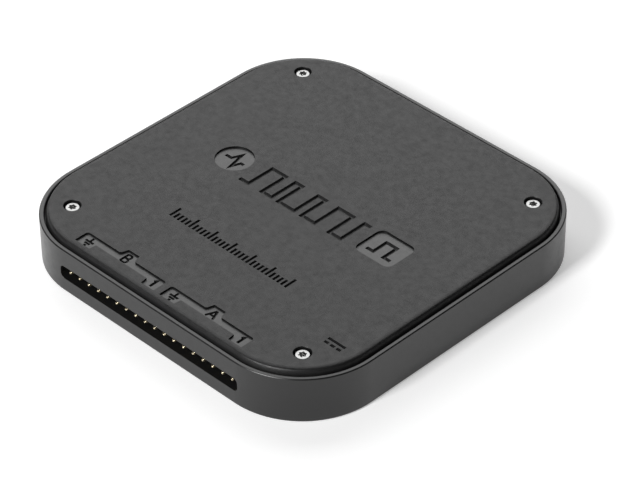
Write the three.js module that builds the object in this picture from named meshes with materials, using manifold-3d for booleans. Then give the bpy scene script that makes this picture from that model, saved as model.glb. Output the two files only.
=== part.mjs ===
// Pocket logic analyzer: a flat square metal box with a screwed-on cover, sixteen probe inputs on two
// nine-way pin headers behind a slot, a USB socket and a status light at the back, one board inside.
// Millimetres, +Z up. The origin is the centre of the underside. The probe slot faces -Y.
import * as THREE from "three";
import { mergeVertices } from "three/addons/utils/BufferGeometryUtils.js";
import Module from "manifold-3d";

const wasm = await Module();
wasm.setup();

// ---- Driving dimensions -------------------------------------------------------------------------
const BODY = 80; // outside length of each side
const CORNER = 17.2; // outside corner radius, seen from above
const RIM_TOP = 9.9; // top of the housing's rim
const COVER_TOP = 10.8; // top of the cover, the highest face of the box
const COVER_THICK = 2.2;
const RIM = 1.0; // width of the rim's flat top
const COVER_GAP = 0.2; // gap between the rim and the cover's edge
const COVER_FILLET = 1.1; // rounded top edge of the cover
const WALL = 2.4;
const FLOOR = 1.2;
const EDGE_BREAK = 0.25; // small chamfer on the housing's outer edges
const LEDGE = COVER_TOP - COVER_THICK; // level that the cover rests on

const SCREW_AT = 30.5; // cover screws sit at plus and minus this in X and Y
const POST_RADIUS = 3.2;
const BORE_RADIUS = 0.95; // cover screw bores, in the posts and through the cover
const BORE_BOTTOM = 3.2;
const COUNTERBORE_RADIUS = 1.68;
const HEAD_RADIUS = 1.4;
const HEAD_TOP = 10.4;
const HEAD_SEAT = 9.45; // face under the screw heads
const SHANK_RADIUS = 0.8;
const SCREW_TIP = 3.9;

const PITCH = 2.54; // pin pitch
const WAYS = 9; // pins in each header: eight inputs and one ground
const PIN = 0.64; // side of a square pin
const PIN_LEVEL = 4.6; // centre line of the pin row
const PIN_TIP = -BODY / 2 + 0.62;
const HEADER_FRONT = -33.4;
const HEADER_SIZE = 2.54; // depth and height of a header's plastic
const PIN_CLEARANCE = 0.05;
const SLOT_LENGTH = 47.1;
const SLOT_HEIGHT = 2.85;
const SLOT_CORNER = 1.0;

const BOARD_TOP = PIN_LEVEL - HEADER_SIZE / 2;
const BOARD_THICK = 1.2;
const BOARD_BOTTOM = BOARD_TOP - BOARD_THICK;
const BOARD_GAP = 0.6; // between the board's edge and the walls
const BOARD_SCREW_X = 33;
const BOARD_SCREW_Y = 16;
const SEAT = 0.05; // solder under a part on the board

const USB_WIDTH = 7.7;
const USB_HEIGHT = 3.9;
const USB_LENGTH = 9.2;
const USB_SHEET = 0.35;
const USB_FRONT = BODY / 2 - 0.5;
const LIGHT_X = 10.5; // status light, beside the USB socket
const LIGHT_Y = 33.6;
const LIGHT_LEVEL = BOARD_TOP + 1.9;
const LIGHT_RADIUS = 1.0;

const MARK_DEPTH = 0.25; // sunk marks in the cover
const FINE = 16; // steps in a large quarter round
const ROUND = 16; // sides of a small cylinder

// ---- Finishes -----------------------------------------------------------------------------------
function finish(color, roughness, metalness) {
  return new THREE.MeshStandardMaterial({ color, roughness, metalness });
}
const ANODISED = finish(0x4a4a4b, 0.55, 0.6);
const STEEL = finish(0xc9c9c6, 0.3, 0.9);
const GOLD = finish(0xd9b35c, 0.3, 1.0);
const BLACK_PLASTIC = finish(0x151516, 0.5, 0.0);
const SOLDER_MASK = finish(0x12502e, 0.45, 0.0);
const CHIP_EPOXY = finish(0x202123, 0.6, 0.0);
const CLEAR_PLASTIC = finish(0xdfe8ea, 0.15, 0.0);
const LED_WHITE = finish(0xe9e4cf, 0.4, 0.0);
const TANTALUM = finish(0xc58a2c, 0.5, 0.0);

// ---- Solids -------------------------------------------------------------------------------------
function solid(geometry) {
  const plain = geometry.index ? geometry.toNonIndexed() : geometry.clone();
  plain.deleteAttribute("normal");
  plain.deleteAttribute("uv");
  const merged = mergeVertices(plain, 1e-5);
  return new wasm.Manifold(new wasm.Mesh({
    numProp: 3,
    vertProperties: Float32Array.from(merged.attributes.position.array),
    triVerts: Uint32Array.from(merged.index.array),
  }));
}

function surface(body) {
  const mesh = body.getMesh();
  const geometry = new THREE.BufferGeometry();
  geometry.setAttribute("position", new THREE.BufferAttribute(new Float32Array(mesh.vertProperties), 3));
  geometry.setIndex(new THREE.BufferAttribute(new Uint32Array(mesh.triVerts), 1));
  geometry.computeVertexNormals();
  return geometry;
}

function block(x0, x1, y0, y1, z0, z1) {
  const geometry = new THREE.BoxGeometry(x1 - x0, y1 - y0, z1 - z0);
  geometry.translate((x0 + x1) / 2, (y0 + y1) / 2, (z0 + z1) / 2);
  return solid(geometry);
}

// An upright cylinder, or a cone when the two radii differ.
function rod(x, y, z0, z1, radius, topRadius = radius, sides = ROUND) {
  const geometry = new THREE.CylinderGeometry(topRadius, radius, z1 - z0, sides);
  geometry.rotateX(Math.PI / 2);
  geometry.translate(x, y, (z0 + z1) / 2);
  return solid(geometry);
}

function roundedRectangle(width, depth, radius, x = 0, y = 0) {
  const shape = new THREE.Shape();
  const right = x + width / 2 - radius;
  const left = x - width / 2 + radius;
  const back = y + depth / 2 - radius;
  const front = y - depth / 2 + radius;
  shape.absarc(right, back, radius, 0, Math.PI / 2);
  shape.absarc(left, back, radius, Math.PI / 2, Math.PI);
  shape.absarc(left, front, radius, Math.PI, Math.PI * 1.5);
  shape.absarc(right, front, radius, Math.PI * 1.5, Math.PI * 2);
  shape.closePath();
  return shape;
}

// A straight prism on a flat outline, from z0 up to z1.
function prism(shape, z0, z1, curveSegments = FINE) {
  const geometry = new THREE.ExtrudeGeometry(shape, { depth: z1 - z0, bevelEnabled: false, curveSegments });
  geometry.translate(0, 0, z0);
  return solid(geometry);
}

// A prism whose top and bottom edges are broken by a chamfer, or by a fillet when it has more steps.
function bevelledPrism(shape, z0, z1, bevel, steps, curveSegments = FINE) {
  const geometry = new THREE.ExtrudeGeometry(shape, {
    depth: z1 - z0 - 2 * bevel,
    bevelThickness: bevel,
    bevelSize: bevel,
    bevelOffset: -bevel,
    bevelSegments: steps,
    curveSegments,
  });
  geometry.translate(0, 0, z0 + bevel);
  return solid(geometry);
}

// A prism that runs along Y: the outline is drawn in X and Z, and the prism fills y0 to y1.
function alongY(shape, y0, y1, curveSegments = 6) {
  const geometry = new THREE.ExtrudeGeometry(shape, { depth: y1 - y0, bevelEnabled: false, curveSegments });
  geometry.rotateX(Math.PI / 2);
  geometry.translate(0, y1, 0);
  return solid(geometry);
}

function polygon(points) {
  return new THREE.Shape(points.map(([x, y]) => new THREE.Vector2(x, y)));
}

function union(bodies) {
  return bodies.reduce((whole, next) => whole.add(next));
}

function cut(body, tools) {
  return tools.reduce((rest, tool) => rest.subtract(tool), body);
}

const CORNERS = [
  ["front_left", -1, -1],
  ["front_right", 1, -1],
  ["rear_left", -1, 1],
  ["rear_right", 1, 1],
];

const analyzer = new THREE.Group();

function add(name, body, material) {
  const mesh = new THREE.Mesh(surface(body), material);
  mesh.name = name;
  analyzer.add(mesh);
}

// ---- Housing ------------------------------------------------------------------------------------
// Outline of the body moved in by a distance, with the corners kept concentric.
function inset(distance) {
  return roundedRectangle(BODY - 2 * distance, BODY - 2 * distance, CORNER - distance);
}

// A bar on the diagonal, from a corner post to the corner wall.
function cornerBar(sx, sy, width, z0, z1) {
  const reach = BODY / 2 - CORNER + (CORNER - WALL / 2) * Math.SQRT1_2;
  const length = (reach - SCREW_AT) * Math.SQRT2;
  const geometry = new THREE.BoxGeometry(length, width, z1 - z0);
  geometry.translate(length / 2, 0, 0);
  geometry.rotateZ(Math.atan2(sy, sx));
  geometry.translate(sx * SCREW_AT, sy * SCREW_AT, (z0 + z1) / 2);
  return solid(geometry);
}

function housing() {
  const shell = cut(bevelledPrism(inset(0), 0, RIM_TOP, EDGE_BREAK, 1), [
    prism(inset(RIM), LEDGE, RIM_TOP + 1),
    prism(inset(WALL), FLOOR, LEDGE + 1),
  ]);
  const posts = CORNERS.flatMap(([, sx, sy]) => [
    rod(sx * SCREW_AT, sy * SCREW_AT, FLOOR / 2, LEDGE, POST_RADIUS, POST_RADIUS, 24),
    cornerBar(sx, sy, 2.4, FLOOR / 2, LEDGE),
  ]);
  const boardPosts = [-1, 1].flatMap((sx) => [-1, 1].map((sy) =>
    rod(sx * BOARD_SCREW_X, sy * BOARD_SCREW_Y, FLOOR / 2, BOARD_BOTTOM, 2.6)));
  const bores = CORNERS.map(([, sx, sy]) =>
    rod(sx * SCREW_AT, sy * SCREW_AT, BORE_BOTTOM, LEDGE + 1, BORE_RADIUS));
  const boardBores = [-1, 1].flatMap((sx) => [-1, 1].map((sy) =>
    rod(sx * BOARD_SCREW_X, sy * BOARD_SCREW_Y, BOARD_BOTTOM - 1.2, BOARD_BOTTOM + 1, 0.7, 0.7, 8)));
  const slot = alongY(
    roundedRectangle(SLOT_LENGTH, SLOT_HEIGHT, SLOT_CORNER, 0, PIN_LEVEL), -BODY / 2 - 1, -BODY / 2 + WALL + 1);
  const usbWindow = alongY(
    roundedRectangle(USB_WIDTH + 0.7, USB_HEIGHT + 0.5, 0.7, 0, BOARD_TOP + SEAT + USB_HEIGHT / 2),
    BODY / 2 - WALL - 1, BODY / 2 + 1);
  const lightWindow = alongY(disc(LIGHT_X, LIGHT_LEVEL, LIGHT_RADIUS + 0.15), BODY / 2 - WALL - 1, BODY / 2 + 1);
  return cut(union([shell, ...posts, ...boardPosts]), [...bores, ...boardBores, slot, usbWindow, lightWindow]);
}

function disc(x, y, radius) {
  const shape = new THREE.Shape();
  shape.absarc(x, y, radius, 0, Math.PI * 2);
  return shape;
}

// ---- Cover and its screws -----------------------------------------------------------------------
// One sunk bracket over a header: a band along the pins, a leg at each end and a tab for its letter.
function bracket(left) {
  const right = left + 21.3;
  const [bottom, inner, top, tab] = [-37.0, -35.5, -33.8, -32.15];
  return polygon([
    [left, bottom], [left + 4, bottom], [left + 4, inner], [right - 3.4, inner], [right - 3.4, bottom],
    [right, bottom], [right, top], [left + 12.6, top], [left + 12.2, tab], [left + 9.2, tab],
    [left + 8.8, top], [left, top],
  ]);
}

function cover() {
  const outline = inset(RIM + COVER_GAP);
  const plate = bevelledPrism(outline, LEDGE - COVER_FILLET, COVER_TOP, COVER_FILLET, 4)
    .intersect(block(-BODY, BODY, -BODY, BODY, LEDGE, COVER_TOP + 1));
  const holes = CORNERS.flatMap(([, sx, sy]) => [
    rod(sx * SCREW_AT, sy * SCREW_AT, LEDGE - 1, COVER_TOP + 1, BORE_RADIUS),
    rod(sx * SCREW_AT, sy * SCREW_AT, HEAD_SEAT, COVER_TOP + 1, COUNTERBORE_RADIUS, COUNTERBORE_RADIUS, 24),
  ]);
  const sunk = [
    bracket(-22.35),
    bracket(0.45),
    roundedRectangle(8.2, 7.2, 1.6, 20.6, 1.2),
  ].map((shape) => prism(shape, COVER_TOP - MARK_DEPTH, COVER_TOP + 1, 4));
  return cut(plate, [...holes, ...sunk]);
}

// Six-lobe driving recess, as one waved outline.
function sixLobe(x, y, radius, steps = 24) {
  const points = Array.from({ length: steps }, (_, i) => {
    const angle = (i / steps) * Math.PI * 2;
    const reach = radius * (1 + 0.14 * Math.cos(6 * angle));
    return [x + reach * Math.cos(angle), y + reach * Math.sin(angle)];
  });
  return polygon(points);
}

function coverScrew(x, y) {
  const headEdge = HEAD_TOP - 0.3;
  const head = rod(x, y, HEAD_SEAT, headEdge, HEAD_RADIUS, HEAD_RADIUS, 24);
  const crown = rod(x, y, headEdge, HEAD_TOP, HEAD_RADIUS, HEAD_RADIUS - 0.3, 24);
  const shank = rod(x, y, SCREW_TIP + 0.3, HEAD_SEAT + 0.2, SHANK_RADIUS);
  const tip = rod(x, y, SCREW_TIP, SCREW_TIP + 0.3, SHANK_RADIUS - 0.3, SHANK_RADIUS);
  const recess = prism(sixLobe(x, y, 0.78), HEAD_TOP - 0.55, HEAD_TOP + 1);
  return cut(union([head, crown, shank, tip]), [recess]);
}

// ---- Board --------------------------------------------------------------------------------------
function pinX(index) {
  return (index - (2 * WAYS - 1) / 2) * PITCH;
}

const PIN_ROOT = HEADER_FRONT + HEADER_SIZE + 1.6; // where a header pin turns down into the board

function board() {
  const sheet = prism(inset(WALL + BOARD_GAP), BOARD_BOTTOM, BOARD_TOP);
  const notches = CORNERS.flatMap(([, sx, sy]) => [
    rod(sx * SCREW_AT, sy * SCREW_AT, 0, BOARD_TOP + 1, POST_RADIUS + 0.6, POST_RADIUS + 0.6, 24),
    cornerBar(sx, sy, 2 * (POST_RADIUS + 0.6), 0, BOARD_TOP + 1),
  ]);
  const fixings = [-1, 1].flatMap((sx) => [-1, 1].map((sy) =>
    rod(sx * BOARD_SCREW_X, sy * BOARD_SCREW_Y, 0, BOARD_TOP + 1, 1.1)));
  const pinHoles = Array.from({ length: 2 * WAYS }, (_, i) =>
    rod(pinX(i), PIN_ROOT, 0, BOARD_TOP + 1, 0.55, 0.55, 8));
  return cut(sheet, [...notches, ...fixings, ...pinHoles]);
}

function boardScrew(x, y) {
  const head = rod(x, y, BOARD_TOP, BOARD_TOP + 0.9, 1.7, 1.35, 20);
  const shank = rod(x, y, BOARD_BOTTOM - 1.0, BOARD_TOP + 0.2, 0.6, 0.6, 12);
  const recess = prism(sixLobe(x, y, 0.62), BOARD_TOP + 0.5, BOARD_TOP + 2);
  return cut(union([head, shank]), [recess]);
}

// ---- Pin headers --------------------------------------------------------------------------------
// Plastic strip of a header, notched between its ways, with a square hole for each pin.
function headerBody(firstPin) {
  const left = pinX(firstPin) - PITCH / 2;
  const back = HEADER_FRONT + HEADER_SIZE;
  const notch = 0.45;
  const slack = 0.05;
  const front = [];
  const rear = [];
  for (let way = 0; way < WAYS; way++) {
    const x0 = left + way * PITCH + (way === 0 ? slack : 0);
    const x1 = left + (way + 1) * PITCH - (way === WAYS - 1 ? slack : 0);
    front.push([x0, HEADER_FRONT + notch], [x0 + notch, HEADER_FRONT], [x1 - notch, HEADER_FRONT]);
    rear.push([x0, back - notch], [x0 + notch, back], [x1 - notch, back]);
  }
  const end = left + WAYS * PITCH - slack;
  front.push([end, HEADER_FRONT + notch]);
  rear.push([end, back - notch]);
  const strip = prism(polygon([...front, ...rear.reverse()]), BOARD_TOP, BOARD_TOP + HEADER_SIZE);
  const half = PIN / 2 + PIN_CLEARANCE;
  const holes = Array.from({ length: WAYS }, (_, way) => {
    const x = pinX(firstPin + way);
    return block(x - half, x + half, HEADER_FRONT - 1, back + 1, PIN_LEVEL - half, PIN_LEVEL + half);
  });
  return cut(strip, holes);
}

// A square wire that runs along Y from its tip, then turns down to its foot.
function bentPin(x, level, tip, root, foot, width, height) {
  const top = level + height / 2;
  const direction = Math.sign(root - tip);
  const point = height * 0.35;
  const shape = polygon([
    [tip, level - height / 2 + point], [tip, top - point],
    [tip + direction * point, top], [root + direction * height / 2, top],
    [root + direction * height / 2, foot], [root - direction * height / 2, foot],
    [root - direction * height / 2, level - height / 2], [tip + direction * point, level - height / 2],
  ]);
  const geometry = new THREE.ExtrudeGeometry(shape, { depth: width, bevelEnabled: false });
  geometry.rotateX(Math.PI / 2);
  geometry.rotateZ(Math.PI / 2);
  geometry.translate(x - width / 2, 0, 0);
  return solid(geometry);
}

// ---- USB socket ---------------------------------------------------------------------------------
// Outline of a small D-shaped socket in X and Z, moved in by a distance: narrower below its shoulders.
function usbOutline(distance) {
  const half = USB_WIDTH / 2 - distance;
  const low = BOARD_TOP + SEAT + distance;
  const high = BOARD_TOP + SEAT + USB_HEIGHT - distance;
  return polygon([
    [-half + 0.9, low], [half - 0.9, low], [half - 0.5, low + 0.9], [half, low + 1.5],
    [half, high], [-half, high], [-half, low + 1.5], [-half + 0.5, low + 0.9],
  ]);
}

const USB_BACK = USB_FRONT - USB_LENGTH;
const USB_MIDDLE = BOARD_TOP + SEAT + USB_HEIGHT / 2;
const USB_CONTACTS = 5;
const USB_PITCH = 0.8;

function usbShell() {
  return cut(alongY(usbOutline(0), USB_BACK, USB_FRONT), [alongY(usbOutline(USB_SHEET), USB_BACK - 1, USB_FRONT + 1)]);
}

function usbInsulator() {
  const plug = alongY(usbOutline(USB_SHEET + 0.06), USB_BACK + 0.3, USB_BACK + 2.6);
  const tongue = block(-2.4, 2.4, USB_BACK + 1, USB_FRONT - 1.1, USB_MIDDLE - 0.35, USB_MIDDLE + 0.75);
  const grooves = Array.from({ length: USB_CONTACTS }, (_, i) => {
    const x = (i - (USB_CONTACTS - 1) / 2) * USB_PITCH;
    return block(x - 0.27, x + 0.27, USB_BACK - 1, USB_FRONT - 1.6, USB_MIDDLE - 0.5, USB_MIDDLE - 0.1);
  });
  return cut(plug.add(tongue), grooves);
}

// ---- Parts on the board -------------------------------------------------------------------------
// A moulded package: its sides slope out to a parting line at half height.
function chip(x, y, width, depth, height, slope = 0.12) {
  const low = BOARD_TOP + SEAT;
  const half = height / 2;
  const flare = (w, d, z0, z1, w1, d1) => {
    const geometry = new THREE.BoxGeometry(1, 1, z1 - z0);
    const position = geometry.attributes.position;
    for (let i = 0; i < position.count; i++) {
      const upper = position.getZ(i) > 0;
      position.setX(i, x + position.getX(i) * (upper ? w1 : w));
      position.setY(i, y + position.getY(i) * (upper ? d1 : d));
    }
    geometry.translate(0, 0, (z0 + z1) / 2);
    return solid(geometry);
  };
  return flare(width - 2 * slope, depth - 2 * slope, low, low + half, width, depth)
    .add(flare(width, depth, low + half, low + height, width - 2 * slope, depth - 2 * slope));
}

// A metal-lidded crystal can or a shielded coil: a block with rounded upright edges and a broken top.
function roundedCan(x, y, width, depth, height, radius) {
  const low = BOARD_TOP + SEAT;
  return bevelledPrism(roundedRectangle(width, depth, radius, x, y), low, low + height, 0.15, 1, 4);
}

// Light pipe: a round rod through the rear wall with a foot that stands on the light's lens.
function lightPipe() {
  const back = LIGHT_Y + 1.0;
  const stem = alongY(disc(LIGHT_X, LIGHT_LEVEL, LIGHT_RADIUS), back, BODY / 2 - 0.1);
  const foot = block(LIGHT_X - 1.3, LIGHT_X + 1.3, LIGHT_Y - 1.0, back + 0.2, BOARD_TOP + 1.0, LIGHT_LEVEL + 1.0);
  return stem.add(foot);
}

// ---- Assembly -----------------------------------------------------------------------------------
add("housing", housing(), ANODISED);
add("cover", cover(), ANODISED);
for (const [corner, sx, sy] of CORNERS) {
  add(`cover_screw_${corner}`, coverScrew(sx * SCREW_AT, sy * SCREW_AT), STEEL);
}

add("circuit_board", board(), SOLDER_MASK);
for (const [corner, sx, sy] of CORNERS) {
  add(`board_screw_${corner}`, boardScrew(sx * BOARD_SCREW_X, sy * BOARD_SCREW_Y), STEEL);
}

// Bank B is the left header and bank A the right one; pins count from the right, ground last.
for (const [bank, firstPin] of [["b", 0], ["a", WAYS]]) {
  add(`header_${bank}_body`, headerBody(firstPin), BLACK_PLASTIC);
  for (let way = 0; way < WAYS; way++) {
    const name = way === 0 ? "ground" : String(WAYS - way);
    const pin = bentPin(pinX(firstPin + way), PIN_LEVEL, PIN_TIP, PIN_ROOT, BOARD_BOTTOM - 0.55, PIN, PIN);
    add(`header_${bank}_pin_${name}`, pin, GOLD);
  }
}

add("usb_shell", usbShell(), STEEL);
add("usb_insulator", usbInsulator(), BLACK_PLASTIC);
for (let i = 0; i < USB_CONTACTS; i++) {
  const x = (i - (USB_CONTACTS - 1) / 2) * USB_PITCH;
  const contact = bentPin(x, USB_MIDDLE - 0.25, USB_FRONT - 1.9, USB_BACK - 0.5, BOARD_TOP + SEAT, 0.4, 0.2);
  add(`usb_contact_${i + 1}`, contact, GOLD);
}

add("logic_chip", chip(0, -7, 14, 14, 1.0), CHIP_EPOXY);
add("usb_controller_chip", chip(0, 15, 8, 8, 0.85, 0.05), CHIP_EPOXY);
add("memory_chip", chip(13, 17, 3.9, 4.9, 1.0), CHIP_EPOXY);
[-17, -6, 6, 17].forEach((x, i) => add(`input_protection_${i + 1}`, chip(x, -24, 4.4, 3.0, 0.95), CHIP_EPOXY));
add("regulator_core", chip(-25, 6, 6.5, 3.5, 1.6), CHIP_EPOXY);
add("regulator_io", chip(-25, -4, 6.5, 3.5, 1.6), CHIP_EPOXY);
add("input_capacitor", chip(-9, 31, 7.0, 4.2, 1.8), TANTALUM);
add("output_capacitor", chip(-25, -13, 7.0, 4.2, 1.8), TANTALUM);
add("crystal", roundedCan(-11, 19, 5.0, 3.2, 0.9, 0.6), STEEL);
add("power_coil", roundedCan(-24, 17, 5.0, 5.0, 2.0, 1.2), BLACK_PLASTIC);
add("status_led", chip(LIGHT_X, LIGHT_Y, 2.0, 1.25, 0.8, 0.1), LED_WHITE);
add("light_pipe", lightPipe(), CLEAR_PLASTIC);

export default analyzer;
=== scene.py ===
"""Looks of the pocket logic analyzer: a dark blasted metal box, its marks, screws, pins and board.

The frame is the CAD frame: the underside's centre is the origin and the probe slot faces -Y. Lengths in
this file are in millimetres and are turned into metres where a mesh, light or camera is made.
"""

from math import cos, pi, radians, sin, sqrt, tan

import bmesh
import bpy
from mathutils import Euler, Matrix, Vector


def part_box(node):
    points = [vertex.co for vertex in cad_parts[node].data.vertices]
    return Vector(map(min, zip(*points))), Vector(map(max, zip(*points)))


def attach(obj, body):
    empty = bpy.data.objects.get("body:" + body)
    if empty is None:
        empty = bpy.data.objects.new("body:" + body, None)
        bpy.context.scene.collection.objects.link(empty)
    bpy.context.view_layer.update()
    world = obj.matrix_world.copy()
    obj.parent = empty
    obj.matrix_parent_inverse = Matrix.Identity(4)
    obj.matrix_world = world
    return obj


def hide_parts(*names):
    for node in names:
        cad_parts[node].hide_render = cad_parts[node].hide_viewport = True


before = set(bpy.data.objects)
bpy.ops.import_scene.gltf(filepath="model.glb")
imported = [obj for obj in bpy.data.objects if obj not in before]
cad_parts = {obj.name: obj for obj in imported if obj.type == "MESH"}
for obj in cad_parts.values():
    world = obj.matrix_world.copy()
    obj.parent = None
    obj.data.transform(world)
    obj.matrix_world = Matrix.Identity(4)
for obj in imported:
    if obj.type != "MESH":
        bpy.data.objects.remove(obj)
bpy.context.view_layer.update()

MM = 0.001


def box_mm(node):
    """Lowest and highest corner of a CAD node, in millimetres."""
    low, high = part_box(node)
    return low / MM, high / MM


# ---- Sizes, from the frame where it holds them ----
HOUSING_HIGH = box_mm("housing")[1]
COVER_LOW, COVER_HIGH = box_mm("cover")
SCREW_LOW, SCREW_HIGH = box_mm("cover_screw_front_right")
BOARD_LOW, BOARD_HIGH = box_mm("circuit_board")
PIN_LOW, PIN_HIGH = box_mm("header_a_pin_1")
USB_LOW, USB_HIGH = box_mm("usb_shell")
PIPE_LOW, PIPE_HIGH = box_mm("light_pipe")

HALF = HOUSING_HIGH.x  # half the outside length of a side
CORNER = 17.2  # outside corner radius, seen from above
RIM_TOP = HOUSING_HIGH.z
RIM = 1.02  # thickness of the wall above the ledge
RIM_CHAMFER = 0.22  # on the rim's outer edge
RIM_ROUNDING = 0.32  # on its inner edge
FOOT_ROUNDING = 0.45
WALL = 2.4
FLOOR = 1.2
SLOT_HALF = 23.55
SLOT_HALF_HEIGHT = 1.425
SLOT_CORNER = 1.0
MOUTH_CHAMFER = 0.03  # round the openings in the walls

COVER_TOP = COVER_HIGH.z
LEDGE = COVER_LOW.z  # level that the cover rests on
COVER_INSET = HALF - COVER_HIGH.x
COVER_EDGE_HEIGHT = 1.35  # the cover's rounded edge starts this far under its top
COVER_EDGE_WIDTH = 1.45
MARK_DEPTH = 0.36
STROKE_DEPTH = 0.42

CORNERS = {"front_left": (-1, -1), "front_right": (1, -1), "rear_left": (-1, 1), "rear_right": (1, 1)}
SCREW_AT = (SCREW_LOW.x + SCREW_HIGH.x) / 2
SCREW_PLACES = {corner: (sx * SCREW_AT, sy * SCREW_AT) for corner, (sx, sy) in CORNERS.items()}
HEAD_RADIUS = (SCREW_HIGH.x - SCREW_LOW.x) / 2
HEAD_TOP = SCREW_HIGH.z
HEAD_SEAT = 9.45  # floor of the counterbores
COUNTERBORE_RADIUS = 1.68
BORE_RADIUS = 0.95
BORE_BOTTOM = 3.2
POST_RADIUS = 3.2

BOARD_TOP = BOARD_HIGH.z
BOARD_BOTTOM = BOARD_LOW.z
OVERLAP = 0.01  # what lies on the board starts this far inside it
COPPER = 0.02  # height of copper and plating on the board
PAD = 0.03  # height of a solder pad
INK = 0.012
USB_SHEET = 0.35  # steel of the USB shell

PITCH = 2.54
WAYS = 9
PIN_HALF = 0.32
PIN_LEVEL = PIN_HIGH.z - PIN_HALF
PIN_ROOT = PIN_HIGH.y - PIN_HALF  # where a pin turns down into the board
INPUTS = [i for i in range(2 * WAYS) if i % WAYS]  # pins but the two grounds
PIPE_RADIUS = 1.0
PIPE_LEVEL = PIPE_HIGH.z - PIPE_RADIUS
PIPE_X = (PIPE_LOW.x + PIPE_HIGH.x) / 2


def pin_x(i):
    return (i - (2 * WAYS - 1) / 2) * PITCH


def middle_mm(node):
    """Centre and half size of a CAD node, in millimetres."""
    low_corner, high_corner = box_mm(node)
    return (low_corner + high_corner) / 2, (high_corner - low_corner) / 2


# ---- Mesh helpers ----
def add_object(name, data):
    obj = bpy.data.objects.new(name, data)
    bpy.context.scene.collection.objects.link(obj)
    return obj


def new_object(name, verts, faces):
    """A mesh object from points in millimetres."""
    mesh = bpy.data.meshes.new(name)
    mesh.from_pydata([(x * MM, y * MM, z * MM) for x, y, z in verts], [], faces)
    mesh.validate()
    return add_object(name, mesh)


def faces_out(obj):
    """Turns the faces of a closed mesh outwards."""
    solid = bmesh.new()
    solid.from_mesh(obj.data)
    if solid.calc_volume(signed=True) < 0:
        bmesh.ops.reverse_faces(solid, faces=solid.faces)
        solid.to_mesh(obj.data)
    solid.free()
    return obj


def lofted(name, rings, closed=False):
    """A solid through rings of equal length, capped at its ends unless the last ring joins the first."""
    count, last = len(rings[0]), len(rings) - 1
    faces = [] if closed else [tuple(reversed(range(count)))]
    for level in range(last + closed):
        low, high = level * count, (level + 1) % len(rings) * count
        for i in range(count):
            j = (i + 1) % count
            faces.append((low + i, low + j, high + j, high + i))
    if not closed:
        faces.append(tuple(range(last * count, last * count + count)))
    return faces_out(new_object(name, [p for ring in rings for p in ring], faces))


def rounded(half_x, half_y, radius, steps=6, centre=(0, 0)):
    """Anticlockwise outline of a rectangle with round corners."""
    points = []
    for quarter, (sx, sy) in enumerate([(1, 1), (-1, 1), (-1, -1), (1, -1)]):
        for i in range(steps + 1):
            angle = (quarter + i / steps) * pi / 2
            points.append((
                centre[0] + sx * (half_x - radius) + radius * cos(angle),
                centre[1] + sy * (half_y - radius) + radius * sin(angle),
            ))
    return points


def circle(radius, steps=32, centre=(0, 0)):
    turn = [i / steps * 2 * pi for i in range(steps)]
    return [(centre[0] + radius * cos(a), centre[1] + radius * sin(a)) for a in turn]


def at_level(outline, z):
    return [(x, y, z) for x, y in outline]


def at_depth(outline, y):
    """Stands an outline up in the XZ plane at a given y."""
    return [(x, y, z) for x, z in outline]


def prism(name, outline, z0, z1):
    return lofted(name, [at_level(outline, z0), at_level(outline, z1)])


def block(name, half_x, half_y, z0, z1, centre=(0, 0), corner=0.1):
    return prism(name, rounded(half_x, half_y, corner, 3, centre), z0, z1)


def turned(name, profile, place, steps=48):
    """A solid of revolution about an upright axis. The profile runs upwards as (radius, z)."""
    return lofted(name, [at_level(circle(radius, steps, place), z) for radius, z in profile])


def ribbon(points, width):
    """Outline of a line of even width with mitred corners, through the given points."""
    points = [Vector(point) for point in points]
    ways = [(after - before).normalized() for before, after in zip(points, points[1:])]
    left, right = [], []
    for here, before, after in zip(points, ways[:1] + ways, ways + ways[-1:]):
        normal = Vector((-(before + after).y, (before + after).x)).normalized()
        reach = width / 2 / max(0.3, normal.dot(Vector((-before.y, before.x))))
        left.append(tuple(here + normal * reach))
        right.append(tuple(here - normal * reach))
    return right + left[::-1]


def fillet(radius, steps=5):
    """(away, along) pairs of a quarter round, from its start to its end."""
    turn = [i / steps * pi / 2 for i in range(steps + 1)]
    return [(radius * (1 - sin(t)), radius * (1 - cos(t))) for t in turn]


def join(name, objects):
    """One object holding the meshes of several."""
    whole = bmesh.new()
    for obj in objects:
        whole.from_mesh(obj.data)
    mesh = bpy.data.meshes.new(name)
    whole.to_mesh(mesh)
    whole.free()
    for obj in objects:
        bpy.data.objects.remove(obj)
    return add_object(name, mesh)


def combine(obj, tool, operation="DIFFERENCE", overlapping=False):
    """Cuts or joins another solid and leaves the result in obj's mesh."""
    modifier = obj.modifiers.new("combine", "BOOLEAN")
    modifier.operation = operation
    modifier.solver = "EXACT"
    modifier.use_self = overlapping
    modifier.object = tool
    bpy.context.view_layer.update()
    depsgraph = bpy.context.evaluated_depsgraph_get()
    result = bpy.data.meshes.new_from_object(obj.evaluated_get(depsgraph))
    obj.modifiers.clear()
    obj.data = result
    bpy.data.objects.remove(tool)


def soften(obj, degrees=35):
    """Smooth shading that keeps creases sharper than the angle, and flat faces flat."""
    obj.data.shade_smooth()
    obj.data.set_sharp_from_angle(angle=radians(degrees))
    weighted = obj.modifiers.new("weighted_normals", "WEIGHTED_NORMAL")
    weighted.keep_sharp = True
    weighted.weight = 100
    return obj


def bevelled(obj, width_mm, segments=2):
    """Rounds every edge sharper than 30 degrees, then smooths the shading."""
    modifier = obj.modifiers.new("bevel", "BEVEL")
    modifier.width = width_mm * MM
    modifier.segments = segments
    modifier.limit_method = "ANGLE"
    modifier.angle_limit = radians(30)
    return soften(obj)


def finish_piece(obj, material, body, slot, *nodes):
    """Gives a piece its material and its body, and hides the CAD nodes that it stands for. The slot is not
    used.
    """
    obj.data.materials.clear()
    obj.data.materials.append(material)
    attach(obj, body)
    if nodes:
        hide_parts(*nodes)


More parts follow.
